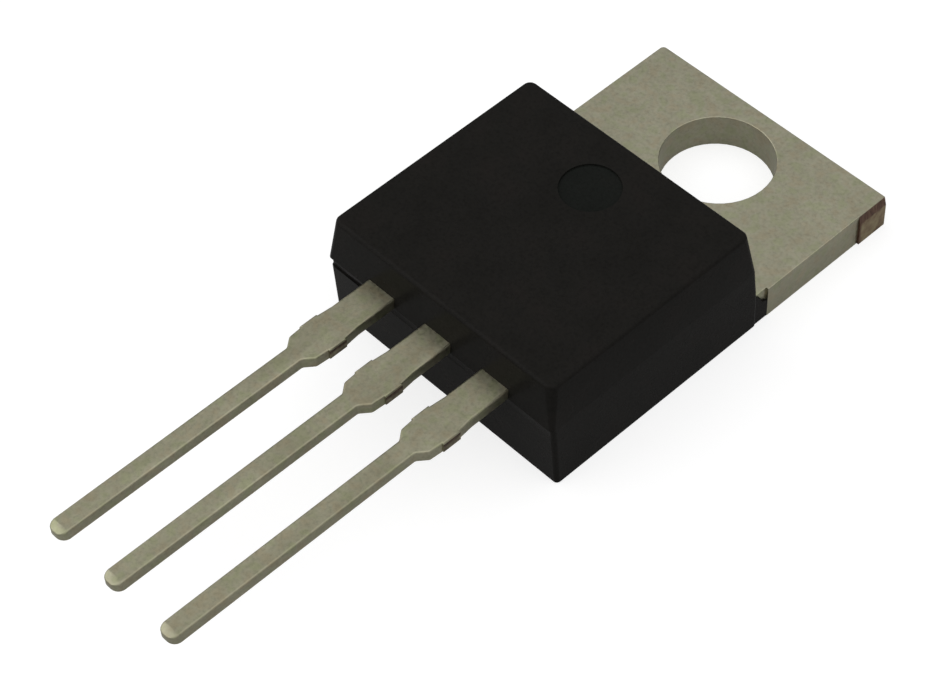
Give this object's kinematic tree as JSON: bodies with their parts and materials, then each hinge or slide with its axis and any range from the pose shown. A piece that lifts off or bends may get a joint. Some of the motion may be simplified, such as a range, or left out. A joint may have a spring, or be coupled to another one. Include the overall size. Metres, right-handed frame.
{
  "type": "thyristor",
  "caption": "Thyristor in a flat-tab power package: black moulded body, drilled metal mounting tab and straight tinned leads for through-hole soldering.",
  "frame": {"origin": "axis of the mounting hole at the metal rear face", "axes": "+Z out of the rear face towards the top of the moulding, +Y towards the tab's free end, leads towards -Y, +X from the cathode lead towards the gate lead"},
  "size_m": [0.0102, 0.0282, 0.0044],
  "materials": {
    "mould_resin": "semi-gloss epoxy moulding",
    "tinned_copper_tab": "satin tin plate",
    "tinned_copper_lead": "satin tin plate",
    "solder": "dull solder",
    "silicon": "polished silicon, opaque",
    "aluminium_wire": "drawn wire"
  },
  "bodies": {
    "root": {"moulded_body": "mould_resin", "tab_with_anode_lead": "tinned_copper_tab", "cathode_lead": "tinned_copper_lead", "gate_lead": "tinned_copper_lead", "die_solder": "solder", "thyristor_die": "silicon", "cathode_wire_outer": "aluminium_wire", "cathode_wire_inner": "aluminium_wire", "gate_wire": "aluminium_wire"}
  },
  "joints": []
}
